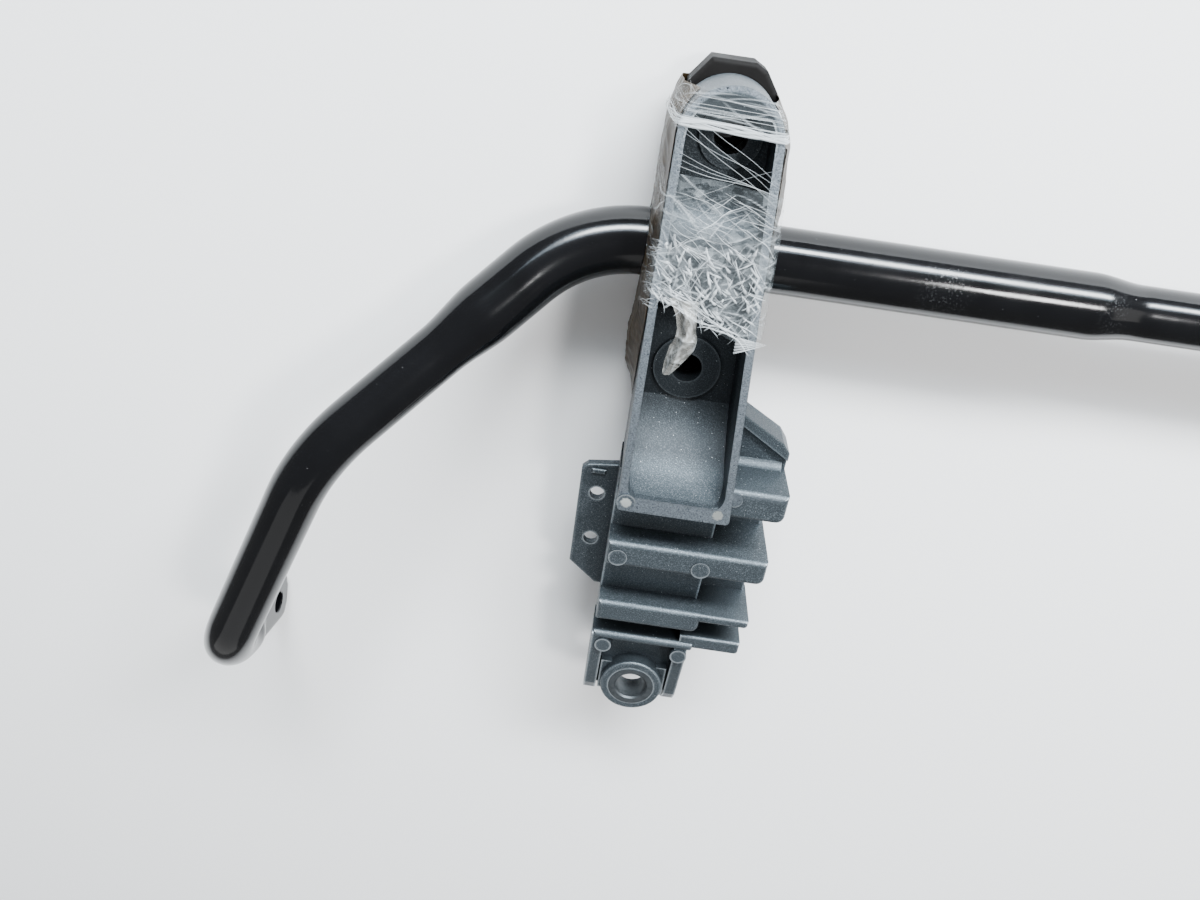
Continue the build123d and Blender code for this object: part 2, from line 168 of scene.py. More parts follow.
# ---------------------------------------------------------------- material tools
class Finish:
    """One material, with short calls that wire its nodes. Lengths that it takes are in millimetres."""

    def __init__(self, name):
        self.material = bpy.data.materials.new(name)
        self.material.use_nodes = True
        self.tree = self.material.node_tree
        self.shader = self.tree.nodes["Principled BSDF"]
        self.place = self.tree.nodes.new("ShaderNodeTexCoord").outputs["Object"]

    def set(self, **values):
        """Constants on the shader's own sockets; underscores in a name stand for spaces."""
        for name, value in values.items():
            self.shader.inputs[name.replace("_", " ")].default_value = value

    def drive(self, **sockets):
        for name, socket in sockets.items():
            self.tree.links.new(socket, self.shader.inputs[name.replace("_", " ")])

    def feed(self, socket, value):
        if isinstance(value, bpy.types.NodeSocket):
            self.tree.links.new(value, socket)
        elif value is not None:
            socket.default_value = value

    def math(self, operation, a, b=None, clamp=False):
        node = self.tree.nodes.new("ShaderNodeMath")
        node.operation = operation
        node.use_clamp = clamp
        self.feed(node.inputs[0], a)
        self.feed(node.inputs[1], b)
        return node.outputs[0]

    def remap(self, value, low, high, to_low=0.0, to_high=1.0):
        """value's range low to high, clamped, as to_low to to_high."""
        node = self.tree.nodes.new("ShaderNodeMapRange")
        self.feed(node.inputs["Value"], value)
        for name, number in (("From Min", low), ("From Max", high), ("To Min", to_low), ("To Max", to_high)):
            node.inputs[name].default_value = number
        return node.outputs[0]

    def blend(self, share, a, b, mode="MIX"):
        """Colour a where share is 0 and b where it is 1."""
        node = self.tree.nodes.new("ShaderNodeMix")
        node.data_type = "RGBA"
        node.blend_type = mode
        self.feed(node.inputs[0], share)
        self.feed(node.inputs[6], a if isinstance(a, bpy.types.NodeSocket) else (*a, 1))
        self.feed(node.inputs[7], b if isinstance(b, bpy.types.NodeSocket) else (*b, 1))
        return node.outputs[2]

    def stretched(self, factors):
        node = self.tree.nodes.new("ShaderNodeMapping")
        node.inputs["Scale"].default_value = factors
        self.tree.links.new(self.place, node.inputs["Vector"])
        return node.outputs[0]

    def noise(self, size, detail=3.0, roughness=0.55, place=None):
        """Cloudy noise with features about size mm across."""
        node = self.tree.nodes.new("ShaderNodeTexNoise")
        node.inputs["Scale"].default_value = 1000.0 / size
        node.inputs["Detail"].default_value = detail
        node.inputs["Roughness"].default_value = roughness
        self.tree.links.new(place or self.place, node.inputs["Vector"])
        return node.outputs[0]

    def specks(self, spacing, radius, share):
        """1 inside round specks of that radius, in that share of cells spacing mm apart."""
        node = self.tree.nodes.new("ShaderNodeTexVoronoi")
        node.inputs["Scale"].default_value = 1000.0 / spacing
        self.tree.links.new(self.place, node.inputs["Vector"])
        split = self.tree.nodes.new("ShaderNodeSeparateColor")
        self.tree.links.new(node.outputs["Color"], split.inputs[0])
        size = self.remap(split.outputs[1], 0.0, 1.0, 0.4 * radius / spacing, radius / spacing)
        inside = self.math("LESS_THAN", node.outputs["Distance"], size)
        kept = self.math("LESS_THAN", split.outputs[0], share)
        return self.math("MULTIPLY", inside, kept)

    def patches(self, size, stretch=(1.0, 1.0, 1.0)):
        """A random value from 0 to 1 for each of many uneven patches about size mm across."""
        node = self.tree.nodes.new("ShaderNodeTexVoronoi")
        node.inputs["Scale"].default_value = 1000.0 / size
        self.tree.links.new(self.stretched(stretch), node.inputs["Vector"])
        split = self.tree.nodes.new("ShaderNodeSeparateColor")
        self.tree.links.new(node.outputs["Color"], split.inputs[0])
        return split.outputs[0]

    def parts(self, vector):
        node = self.tree.nodes.new("ShaderNodeSeparateXYZ")
        self.tree.links.new(vector, node.inputs[0])
        return node.outputs

    def facing(self):
        """The surface's own normal, as its three parts."""
        node = self.tree.nodes.new("ShaderNodeNewGeometry")
        return self.parts(node.outputs["Normal"])

    def occlusion(self, distance, inside):
        node = self.tree.nodes.new("ShaderNodeAmbientOcclusion")
        node.inside = inside
        node.only_local = inside
        node.samples = 8
        node.inputs["Distance"].default_value = distance * MM
        return node.outputs["AO"]

    def attribute(self, name):
        node = self.tree.nodes.new("ShaderNodeAttribute")
        node.attribute_name = name
        return node.outputs["Fac"]

    def bump(self, height, depth, strength=1.0, under=None):
        """Relief of that many millimetres; under is another bump to lay it on."""
        node = self.tree.nodes.new("ShaderNodeBump")
        node.inputs["Strength"].default_value = strength
        node.inputs["Distance"].default_value = depth * MM
        self.tree.links.new(height, node.inputs["Height"])
        if under is not None:
            self.tree.links.new(under, node.inputs["Normal"])
        return node.outputs[0]

    def from_bush(self):
        """Millimetres from the nearer bush centre: inboard, up the bracket and off the floor."""
        x, y, z = self.parts(self.place)
        inboard = self.math("MULTIPLY", self.math("SUBTRACT", BUSH_X, self.math("ABSOLUTE", x)), 1000.0)
        up = self.math("MULTIPLY", self.math("SUBTRACT", y, AXIS_Y), 1000.0)
        off = self.math("MULTIPLY", self.math("SUBTRACT", z, AXIS_Z), 1000.0)
        return inboard, up, off

    def near(self, points):
        """1 inside any of the spots, given as (inboard, up, off, radius) from the bush centre."""
        inboard, up, off = self.from_bush()
        where = self.tree.nodes.new("ShaderNodeCombineXYZ")
        for socket, value in zip(where.inputs, (inboard, up, off)):
            self.tree.links.new(value, socket)
        rough = self.noise(1.2, 2.0)
        total = None
        for x, y, z, radius in points:
            gap = self.tree.nodes.new("ShaderNodeVectorMath")
            gap.operation = "DISTANCE"
            self.tree.links.new(where.outputs[0], gap.inputs[0])
            gap.inputs[1].default_value = (x, y, z)
            edge = self.math("ADD", gap.outputs["Value"], self.math("MULTIPLY", rough, 0.6 * radius))
            spot = self.remap(edge, 1.15 * radius, 1.4 * radius, 1.0, 0.0)
            total = spot if total is None else self.math("MAXIMUM", total, spot)
        return total


# ---------------------------------------------------------------- materials
def bar_finish():
    """Gloss black paint with orange peel, dust, scuffs and a few pale chips."""
    f = Finish("black_gloss_paint")
    inboard, _, off = f.from_bush()
    dust = f.specks(5.0, 0.22, 0.3)
    grit = f.specks(2.2, 0.1, 0.25)
    haze = f.noise(28.0, 4.0)
    chips = f.near(CHIPS)
    scuff_grain = f.remap(f.noise(0.9, 4.0, 0.7), 0.56, 0.66)
    scuff_zone = f.math("MAXIMUM", near_band(f, inboard, 104.0, 15.0), near_band(f, inboard, 178.0, 8.0))
    toward_top = f.remap(off, 8.0, 12.5)
    scuffs = f.math("MULTIPLY", f.math("MULTIPLY", scuff_grain, scuff_zone), toward_top)
    marks = f.math("MAXIMUM", f.math("MAXIMUM", dust, grit), f.math("MULTIPLY", scuffs, 0.35))
    colour = f.blend(haze, (0.0015, 0.0015, 0.0018), (0.0035, 0.0038, 0.0045))
    colour = f.blend(f.math("MULTIPLY", marks, 0.4), colour, (0.16, 0.165, 0.17))
    colour = f.blend(chips, colour, (0.42, 0.45, 0.5))
    rough = f.remap(haze, 0.3, 0.7, 0.09, 0.17)
    rough = f.math("ADD", rough, f.math("MULTIPLY", f.math("MAXIMUM", marks, chips), 0.35))
    peel = f.bump(f.noise(2.6, 1.0), 0.035, 0.5)
    f.drive(Base_Color=colour, Roughness=rough, Normal=f.bump(marks, 0.05, 0.5, peel))
    f.set(IOR=1.42)
    return f.material


def near_band(f, value, middle, half):
    """1 at middle, falling to 0 at half to each side."""
    away = f.math("ABSOLUTE", f.math("SUBTRACT", value, middle))
    return f.remap(away, 0.35 * half, half, 1.0, 0.0)


def cast_finish():
    """Bead-blasted die-cast aluminium: dark skin, rubbed crests painted lighter where they face up as a
    painted highlight, ground rims with pits, and painted shade in hollows and down the channel.
    """
    f = Finish("cast_aluminium")
    inboard, up, off = f.from_bush()
    facing = f.facing()
    grain = f.noise(0.55, 3.0, 0.7)
    cloud = f.noise(16.0, 4.0)
    flecks = f.specks(1.5, 0.2, 0.3)
    # Convex edges on the open side are rubbed pale, kept only where they face up: part wear, part painted
    # highlight where the light falls
    edge = f.remap(f.occlusion(1.5, True), 0.9, 0.6)
    wear_and_highlight = f.math("MULTIPLY", edge, f.remap(f.noise(1.1, 4.0, 0.65), 0.3, 0.58, 0.45, 1.0))
    open_side = f.math("MAXIMUM", f.remap(off, 26.0, 33.0, 0.1, 1.0), f.remap(up, -110.0, -113.0))
    wear_and_highlight = f.math("MULTIPLY", wear_and_highlight, f.math("MULTIPLY", f.remap(facing[2], 0.45, 0.9), open_side))
    # The rim's own ground face, and past the channel's end only an arc along its outer edge: that arc is a
    # painted highlight where a rounded edge would catch the light
    fall = f.math("MULTIPLY", f.math("SUBTRACT", RIM_TOP_Y, up), RIM_SLOPE)
    above_rim = f.math("SUBTRACT", off, f.math("ADD", RIM_TOP_Z, fall))
    rim = f.remap(f.math("ABSOLUTE", above_rim), 0.15, 0.7, 1.0, 0.0)
    rim = f.math("MULTIPLY", rim, f.remap(facing[2], 0.8, 0.95))
    rim = f.math("MULTIPLY", rim, f.remap(up, -113.0, -111.0))
    past_end = f.math("SUBTRACT", up, CHANNEL_TOP_Y)
    from_end = f.math("SUBTRACT", inboard, CHANNEL_TOP_X)
    arc = f.math("SQRT", f.math("ADD", f.math("POWER", past_end, 2.0), f.math("POWER", from_end, 2.0)))
    rim_or_arc_highlight = f.math("MAXIMUM", f.remap(up, 53.5, 52.5), f.remap(arc, 18.3, 19.1))
    rim = f.math("MULTIPLY", rim, rim_or_arc_highlight)
    rim_grain = f.remap(f.noise(0.8, 5.0, 0.75), 0.35, 0.62)
    pits = f.math("MULTIPLY", f.remap(f.noise(1.3, 3.0, 0.7), 0.63, 0.68), rim)
    shiny = f.near([(-19.0, -105.0, 54.0, 2.6), (23.2, -105.2, 51.5, 2.6)])
    # Painted shade: the skin is darkened where hollows and corners are closed in
    unoccluded = f.remap(f.occlusion(26.0, False), 0.1, 0.8)
    skin = f.blend(cloud, (0.03, 0.039, 0.046), (0.06, 0.075, 0.085))
    skin = f.blend(f.math("MULTIPLY", f.remap(grain, 0.5, 0.66), 0.7), skin, (0.19, 0.22, 0.245))
    skin = f.blend(f.math("SUBTRACT", 1.0, unoccluded), skin, (0.016, 0.021, 0.025))
    # Painted shade: the lower end of the channel is darkened
    inside = f.math("MULTIPLY", f.remap(off, 34.0, 27.0), f.remap(up, -112.0, -111.0))
    inside = f.math("MULTIPLY", inside, f.remap(inboard, 25.5, 24.5))
    inside = f.math("MULTIPLY", inside, f.remap(up, 20.0, 5.0))
    skin = f.blend(f.math("MULTIPLY", inside, 0.62), skin, (0.004, 0.005, 0.006))
    skin = f.blend(f.math("MULTIPLY", flecks, 0.5), skin, (0.75, 0.8, 0.83))
    ground = f.blend(rim_grain, (0.08, 0.096, 0.112), (0.26, 0.3, 0.34))
    colour = f.blend(f.math("MULTIPLY", wear_and_highlight, 0.85), skin, (0.5, 0.56, 0.6))
    colour = f.blend(f.math("MULTIPLY", rim, 0.85), colour, ground)
    colour = f.blend(shiny, colour, (0.6, 0.64, 0.62))
    colour = f.blend(pits, colour, (0.012, 0.013, 0.015))
    metal = f.remap(f.math("MAXIMUM", wear_and_highlight, rim), 0.0, 1.0, 0.7, 0.92)
    rough = f.remap(f.math("MAXIMUM", wear_and_highlight, shiny), 0.0, 1.0, 0.48, 0.3)
    relief = f.bump(f.math("MAXIMUM", grain, f.math("MULTIPLY", flecks, 0.9)), 0.09, 0.7)
    relief = f.bump(f.math("SUBTRACT", rim_grain, f.math("MULTIPLY", pits, 3.0)), 0.12, 0.4, relief)
    f.drive(Base_Color=colour, Metallic=metal, Roughness=rough, Normal=relief)
    return f.material


def clamp_finish():
    """Near-black matt coat on the rear clamp, rubbed at its edges."""
    f = Finish("black_clamp_coat")
    grain = f.noise(0.8, 3.0, 0.6)
    cloud = f.noise(14.0, 3.0)
    edge = f.math("MULTIPLY", f.remap(f.occlusion(1.4, True), 0.92, 0.55), f.remap(f.noise(2.0), 0.4, 0.6))
    colour = f.blend(cloud, (0.006, 0.0057, 0.0055), (0.011, 0.0104, 0.0102))
    colour = f.blend(f.math("MULTIPLY", f.specks(2.5, 0.2, 0.2), 0.4), colour, (0.09, 0.09, 0.09))
    colour = f.blend(f.math("MULTIPLY", edge, 0.35), colour, (0.08, 0.08, 0.082))
    f.drive(Base_Color=colour, Roughness=f.remap(cloud, 0.3, 0.7, 0.5, 0.62), Normal=f.bump(grain, 0.05, 0.4))
    f.set(Specular_IOR_Level=0.04)
    return f.material


def rubber_finish():
    """Matt black rubber with bloom."""
    f = Finish("bush_rubber")
    bloom = f.noise(5.0, 4.0, 0.6)
    colour = f.blend(f.remap(bloom, 0.45, 0.75), (0.006, 0.006, 0.006), (0.026, 0.026, 0.027))
    rough = f.remap(bloom, 0.3, 0.7, 0.6, 0.85)
    f.drive(Base_Color=colour, Roughness=rough, Normal=f.bump(f.noise(0.7), 0.05, 0.5))
    return f.material


def steel_finish():
    """Turned steel sleeve, dark and lightly stained."""
    f = Finish("sleeve_steel")
    turned = f.noise(0.35, 2.0, 0.6, f.stretched((0.15, 0.15, 1.0)))
    stain = f.noise(4.0, 4.0, 0.6)
    colour = f.blend(turned, (0.05, 0.058, 0.064), (0.1, 0.112, 0.12))
    colour = f.blend(f.remap(stain, 0.5, 0.75, 0.0, 0.6), colour, (0.025, 0.028, 0.03))
    rough = f.remap(stain, 0.3, 0.7, 0.34, 0.5)
    f.drive(Base_Color=colour, Roughness=rough, Normal=f.bump(turned, 0.03, 0.5))
    f.set(Metallic=0.85)
    return f.material


def film_finish(name, tint, clear, white):
    """Stretch film: nearly clear where it is smooth, white where it is creased or gathered; the white on
    crease crests is partly the film's own whitening and partly a painted glint.
    """
    f = Finish(name)
    crease = f.attribute("crease")
    cloud = f.attribute("cloud")
    streak = f.noise(1.1, 4.0, 0.7, f.stretched((0.35, 1.0, 1.0)))
    fine = f.math("MULTIPLY", f.remap(streak, 0.52, 0.7), 0.3)
    flats = f.math("MULTIPLY", f.patches(5.5, (1.0, 0.7, 1.0)), f.patches(2.6, (0.6, 1.0, 1.0)))
    flats = f.math("POWER", flats, 1.5)
    milky = f.math("ADD", f.math("MULTIPLY", flats, 0.55), f.math("ADD", fine, 0.02))
    milky = f.math("MULTIPLY", cloud, milky)
    cover = f.math("MAXIMUM", milky, f.math("MULTIPLY", crease, white))
    alpha = f.math("ADD", cover, clear, clamp=True)
    # Crease crests whiten: partly the film's own whitening, partly a painted glint
    colour = f.blend(crease, tint, (0.62, 0.67, 0.7))
    f.drive(Base_Color=colour, Alpha=alpha, Normal=f.bump(streak, 0.12, 0.6))
    f.set(Roughness=0.16, IOR=1.5)
    return f.material


def tape_finish():
    """Brown packing tape, with paler patches where air lies under it."""
    f = Finish("brown_tape")
    air = f.noise(7.0, 5.0, 0.65)
    lines = f.noise(1.4, 3.0, 0.6, f.stretched((1.0, 1.0, 0.2)))
    crease = f.attribute("crease")
    colour = f.blend(f.remap(air, 0.35, 0.68), (0.015, 0.0095, 0.0042), (0.036, 0.024, 0.0115))
    colour = f.blend(f.math("MULTIPLY", f.remap(lines, 0.5, 0.7), 0.4), colour, (0.009, 0.006, 0.003))
    colour = f.blend(f.math("MULTIPLY", crease, 0.5), colour, (0.075, 0.054, 0.03))
    f.drive(Base_Color=colour, Normal=f.bump(lines, 0.08, 0.5))
    f.set(Roughness=0.34, Specular_IOR_Level=0.07)
    return f.material


# Pale chips in the paint of the arm, from the bush centre: inboard, up, off the axis, and radius
CHIPS = [
    (-103.5, -43.5, 46.0, 1.5),
    (-148.0, -87.5, 71.5, 0.9),
    (-160.5, -97.0, 74.0, 1.3),
]


# ---------------------------------------------------------------- mesh tools
def new_object(name, side, points, faces, material):
    """A smooth mesh from points in millimetres, placed on its side of the bar."""
    points = np.asarray(points, float).reshape(-1, 3) * MM
    if side == "left":
        points[:, 0] -= BUSH_X
    else:
        points[:, 0] = BUSH_X - points[:, 0]
        faces = [tuple(reversed(face)) for face in faces]
    points[:, 1] += AXIS_Y
    points[:, 2] += AXIS_Z
    mesh = bpy.data.meshes.new(name)
    mesh.from_pydata(points.tolist(), [], faces)
    mesh.polygons.foreach_set("use_smooth", [True] * len(mesh.polygons))
    mesh.materials.append(material)
    piece = bpy.data.objects.new(name, mesh)
    bpy.context.scene.collection.objects.link(piece)
    return piece


def give(piece, name, values):
    """Store one number per vertex for the material to read."""
    attribute = piece.data.attributes.new(name, "FLOAT", "POINT")
    attribute.data.foreach_set("value", np.asarray(values, np.float32).ravel())


def grid_faces(rows, columns, closed=False):
    """Quads of a grid of points, row by row; closed joins the last column to the first."""
    faces = []
    for r in range(rows - 1):
        for c in range(columns if closed else columns - 1):
            d = (c + 1) % columns
            faces.append((r * columns + c, r * columns + d, (r + 1) * columns + d, (r + 1) * columns + c))
    return faces


def ease(t):
    t = np.clip(t, 0.0, 1.0)
    return t * t * (3 - 2 * t)


# ---------------------------------------------------------------- the bar
BAR_R = 15.0
THIN_R = 12.5
SIDE_TAPER = (172.0, 194.0)         # inboard of the bush centre
ARM_TAPER = (54.0, 83.0)            # beyond the arm's first corner
ARM_CORNERS = [(-56.4, 0.0, 0.0), (-161.3, -102.0, 58.6), (-212.6, -229.8, 61.9)]
ARM_BENDS = [68.0, 90.0, 38.0]
ARM_END = (-0.04, -0.29, -0.956)
FLAT_LENGTH = 36.0
PRESS_LENGTH = 24.0
FLAT_WIDTH = 30.0
FLAT_THICKNESS = 11.0
FLAT_EDGE_R = 3.6
TIP_CORNER_R = 6.0
LINK_HOLE_R = 6.2
LINK_HOLE_SETBACK = 15.0
BAR_SEGMENTS = 64


def unit(v):
    return v / np.linalg.norm(v)


def bar_line():
    """Dense centre line of the left half, from the bar's middle to the tip, and the flat end's direction."""
    corners = [np.array(c) for c in ARM_CORNERS]
    end = unit(np.array(ARM_END))
    off_floor = AXIS_Z / MM
    reach = (corners[-1][2] + off_floor - FLAT_WIDTH / 2 * sqrt(1 - end[2] ** 2)) / -end[2]
    tip = corners[-1] + end * reach
    route = [np.array((BUSH_X / MM, 0.0, 0.0))] + corners + [tip]
    points = []
    here = route[0]
    for i, radius in enumerate(ARM_BENDS, start=1):
        a = unit(route[i] - route[i - 1])
        b = unit(route[i + 1] - route[i])
        turn = np.arccos(np.dot(a, b))
        start = route[i] - a * radius * tan(turn / 2)
        points += straight(here, start)
        sideways = unit(b - a * np.dot(a, b))
        for t in np.linspace(0, turn, int(np.degrees(turn) / 2.5) + 2)[:-1]:
            points.append(start + a * radius * sin(t) + sideways * radius * (1 - cos(t)))
        here = route[i] + b * radius * tan(turn / 2)
    points += straight(here, tip) + [tip]
    return np.array(points), end, tip


def straight(start, finish, spacing=2.0):
    count = max(2, int(np.linalg.norm(finish - start) / spacing))
    return [start + (finish - start) * t for t in np.linspace(0, 1, count, endpoint=False)]


def bar_radius(point):
    """Radius of the round bar at a point of its centre line."""
    if point[0] > 0:
        share = (point[0] - SIDE_TAPER[0]) / (SIDE_TAPER[1] - SIDE_TAPER[0])
    else:
        first = np.array(ARM_CORNERS[0])
        along = np.dot(point - first, unit(np.array(ARM_CORNERS[1]) - first))
        share = (along - ARM_TAPER[0]) / (ARM_TAPER[1] - ARM_TAPER[0])
    return BAR_R + (THIN_R - BAR_R) * ease(share)


def flat_section(width, thickness, edge):
    """Evenly spaced points round a rounded rectangle, starting in the middle of a broad side."""
    a, b = thickness / 2, width / 2
    edge = min(edge, a, b)
    outline = []
    for sx, sy, start in ((1, 1, 0), (-1, 1, 90), (-1, -1, 180), (1, -1, 270)):
        for t in np.radians(np.linspace(start, start + 90, 13)):
            outline.append((sx * (a - edge) + edge * cos(t), sy * (b - edge) + edge * sin(t)))
    outline = np.array([(a, 0.0)] + outline + [(a, 0.0)])
    run = np.concatenate([[0], np.cumsum(np.linalg.norm(np.diff(outline, axis=0), axis=1))])
    steps = np.linspace(0, run[-1], BAR_SEGMENTS, endpoint=False)
    return np.stack([np.interp(steps, run, outline[:, k]) for k in (0, 1)], axis=1)


def half_bar_mesh():
    """Rings of points of the left half, with the flat end rounded at its tip."""
    line, end, tip = bar_line()
    tangents = np.gradient(line, axis=0)
    tangents /= np.linalg.norm(tangents, axis=1)[:, None]
    turns = np.linspace(0, 2 * pi, BAR_SEGMENTS, endpoint=False)
    circle = np.stack([np.cos(turns), np.sin(turns)], axis=1)
    side = unit(np.array((1.0, 0, 0)) - end * end[0])
    rings = []
    for point, tangent in zip(line[::-1], tangents[::-1]):
        side = unit(side - tangent * np.dot(side, tangent))
        across = np.cross(tangent, side)
        to_tip = np.dot(tip - point, end)
        on_end = np.dot(point - np.array(ARM_CORNERS[-1]), end) > 0
        pressed = float(ease(1 - (to_tip - FLAT_LENGTH) / PRESS_LENGTH)) if on_end else 0.0
        short = max(0.0, TIP_CORNER_R - to_tip) if on_end else 0.0
        width = FLAT_WIDTH - 2 * (TIP_CORNER_R - sqrt(max(TIP_CORNER_R ** 2 - short ** 2, 0.0)))
        flat = flat_section(width, FLAT_THICKNESS, FLAT_EDGE_R)
        section = circle * bar_radius(point) * (1 - pressed) + flat * pressed
        rings.append(point + section[:, :1] * side + section[:, 1:] * across)
    return np.array(rings), end, tip, unit(np.array((1.0, 0, 0)) - end * end[0])


def make_bar(material):
    rings, end, tip, side = half_bar_mesh()
    rows = len(rings)
    faces = grid_faces(rows, BAR_SEGMENTS, closed=True)
    faces.append(tuple(reversed(range(BAR_SEGMENTS))))
    halves = [new_object(f"half_{s}", s, rings, faces, material) for s in SIDES]
    shape = bmesh.new()
    for half in halves:
        shape.from_mesh(half.data)
        bpy.data.objects.remove(half)
    bmesh.ops.remove_doubles(shape, verts=shape.verts, dist=0.00001)
    bmesh.ops.recalc_face_normals(shape, faces=shape.faces)
    mesh = bpy.data.meshes.new("bar_tube")
    shape.to_mesh(mesh)
    shape.free()
    mesh.materials.append(material)
    bar = bpy.data.objects.new("bar_tube", mesh)
    bpy.context.scene.collection.objects.link(bar)
    drill_link_holes(bar, end, tip, side, material)
    bar.data.polygons.foreach_set("use_smooth", [True] * len(bar.data.polygons))
    bar.data.set_sharp_from_angle(angle=radians(32))
    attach(bar, "bar")
    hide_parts("sway_bar")


def drill_link_holes(bar, end, tip, side, material):
    """Cut each flat end's hole, with a small chamfer at both mouths."""
    centre = tip - end * LINK_HOLE_SETBACK
    other = np.cross(side, end)
    half = FLAT_THICKNESS / 2
    profile = [(-half - 3, LINK_HOLE_R + 3.6), (-half + 0.6, LINK_HOLE_R), (half - 0.6, LINK_HOLE_R),
               (half + 3, LINK_HOLE_R + 3.6)]
    turns = np.linspace(0, 2 * pi, 48, endpoint=False)
    rings = [[centre + side * a + (end * cos(t) + other * sin(t)) * r for t in turns] for a, r in profile]
    faces = grid_faces(len(profile), 48, closed=True)
    faces += [tuple(reversed(range(48))), tuple(range(3 * 48, 4 * 48))]
    for which in SIDES:
        cutter = new_object(f"link_cutter_{which}", which, rings, faces, material)
        shape = bmesh.new()
        shape.from_mesh(cutter.data)
        bmesh.ops.recalc_face_normals(shape, faces=shape.faces)
        shape.to_mesh(cutter.data)
        shape.free()
        cut = bar.modifiers.new("link_hole", "BOOLEAN")
        cut.operation = "DIFFERENCE"
        cut.solver = "EXACT"
        cut.object = cutter
        bpy.context.view_layer.update()
        bored = bpy.data.meshes.new_from_object(bar.evaluated_get(bpy.context.evaluated_depsgraph_get()))
        bar.modifiers.clear()
        bar.data = bored
        bpy.data.objects.remove(cutter)


# ---------------------------------------------------------------- stretch film
FILM_LIFT = 0.35            # film above the rim that it crosses
WRAP_DEPTH = (0.0, 4.0, 30.0, 80.0)
LEFT_BULGE = (0.0, 1.8, 5.4, 5.8)
REACH_Y = (27.0, 50.0, 60.0, 68.0)
RIGHT_REACH = (27.6, 24.4, 21.0, 16.0)      # how far inboard the film stands, over the tape


def over_channel(across, y, lift=0.0):
    """Points and outward directions of the film's wrap: over the rims, and down both sides beyond them."""
    across, y, lift = np.broadcast_arrays(*(np.asarray(value, float) for value in (across, y, lift)))
    low, high = left_edge(y), right_edge(y)
    down_left = np.maximum(low - across, 0)
    down_right = np.maximum(across - high, 0)
    inside = np.clip((across - low) / (high - low), 0, 1)
    down = down_left + down_right
    z = rim_z(y) + FILM_LIFT - np.where(down < 1.5, down ** 2 / 3.0, down - 0.75)
    reach = np.maximum(np.interp(y, REACH_Y, RIGHT_REACH) - high, 0.3)
    span = np.interp(down_right, WRAP_DEPTH, (0, 0.35, 1, 1)) * reach
    x = low + inside * (high - low) - np.interp(down_left, WRAP_DEPTH, LEFT_BULGE) + span
    turn_left, turn_right = ease(down_left / 3.0), ease(down_right / 3.0)
    outward = np.stack([turn_right - turn_left, np.zeros_like(x), 1 - turn_left - turn_right], axis=-1)
    outward /= np.maximum(np.linalg.norm(outward, axis=-1, keepdims=True), 1e-6)
    return np.stack([x, y, z], axis=-1) + outward * lift[..., None], outward


def ripple(x, y, rng, size, count=7):
    """Smooth random waves about size mm long, from -1 to 1."""
    total = np.zeros(np.broadcast(x, y).shape)
    for _ in range(count):
        turn = rng.uniform(0, 2 * pi)
        wave = 2 * pi / (size * rng.uniform(0.7, 1.5))
        total += np.sin(wave * (x * cos(turn) + y * sin(turn)) + rng.uniform(0, 2 * pi))
    return total / count


def folds(x, y, rng, count, area, slants, lengths, widths):
    """Height and crest of straight and bowed creases: area is x0, x1, y0, y1; slants are in degrees."""
    height = np.zeros(x.shape)
    crest = np.zeros(x.shape)
    for _ in range(count):
        middle_x, middle_y = rng.uniform(area[0], area[1]), rng.uniform(area[2], area[3])
        slant = radians(rng.choice(slants) + rng.normal(0, 11))
        half = rng.uniform(*lengths) / 2
        wide = rng.uniform(*widths)
        along = (x - middle_x) * cos(slant) + (y - middle_y) * sin(slant)
        away = (y - middle_y) * cos(slant) - (x - middle_x) * sin(slant) - rng.normal(0, 0.012) * along ** 2
        fade = np.clip(1 - (along / half) ** 2, 0, 1)
        height += np.exp(-np.abs(away) / wide) * fade * rng.uniform(0.35, 1.0)
        crest = np.maximum(crest, np.exp(-(away / (0.22 * wide + 0.12)) ** 2) * fade * rng.uniform(0.5, 1.0))
    return height, crest


def skirt_depth(y):
    """How far the film runs down the bracket's sides: short where the bar comes out."""
    lowest = np.interp(np.abs(y), (0, 10, 16, 20, 26, 34), (21, 19, 14.5, 6, -8, -17))
    return rim_z(y) - lowest


def film_sheet(name, side, material, rng, low, top, grid, lift, sag, depth, creasing, cloud):
    """One layer of film. low and top give its edges along the bracket, for a share 0 to 1 of its girth."""
    rows, columns = grid
    share = np.linspace(0, 1, columns)[None, :]
    climb = np.linspace(0, 1, rows)[:, None]
    foot = low(share) + 0.7 * ripple(share * 60, 0 * share, rng, 6.0)
    head = top(share) + 0.5 * ripple(share * 60, 0 * share, rng, 8.0)
    y = foot + (head - foot) * climb
    down = depth(y)
    start, finish = left_edge(y) - down, right_edge(y) + down
    across = start + (finish - start) * share
    inside = np.clip((across - left_edge(y)) / (right_edge(y) - left_edge(y)), 0, 1)
    hollow = np.sin(pi * inside)
    height = np.zeros(across.shape)
    crest = np.zeros(across.shape)
    for settings in creasing:
        rise, line = folds(across, y, rng, *settings)
        height += rise
        crest = np.maximum(crest, line)
    relief = lift + 0.45 * height * (0.35 + 0.65 * hollow) + 0.25 * (1 + ripple(across, y, rng, 9.0))
    points, outward = over_channel(across, y, relief)
    points[..., 2] -= sag * hollow ** 0.8
    piece = new_object(name, side, points, grid_faces(rows, columns), material)
    give(piece, "crease", crest)
    give(piece, "cloud", cloud(across, y) * (0.8 + 0.35 * ripple(across, y, rng, 7.0)))
    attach(piece, f"bracket_{side}")
    return piece


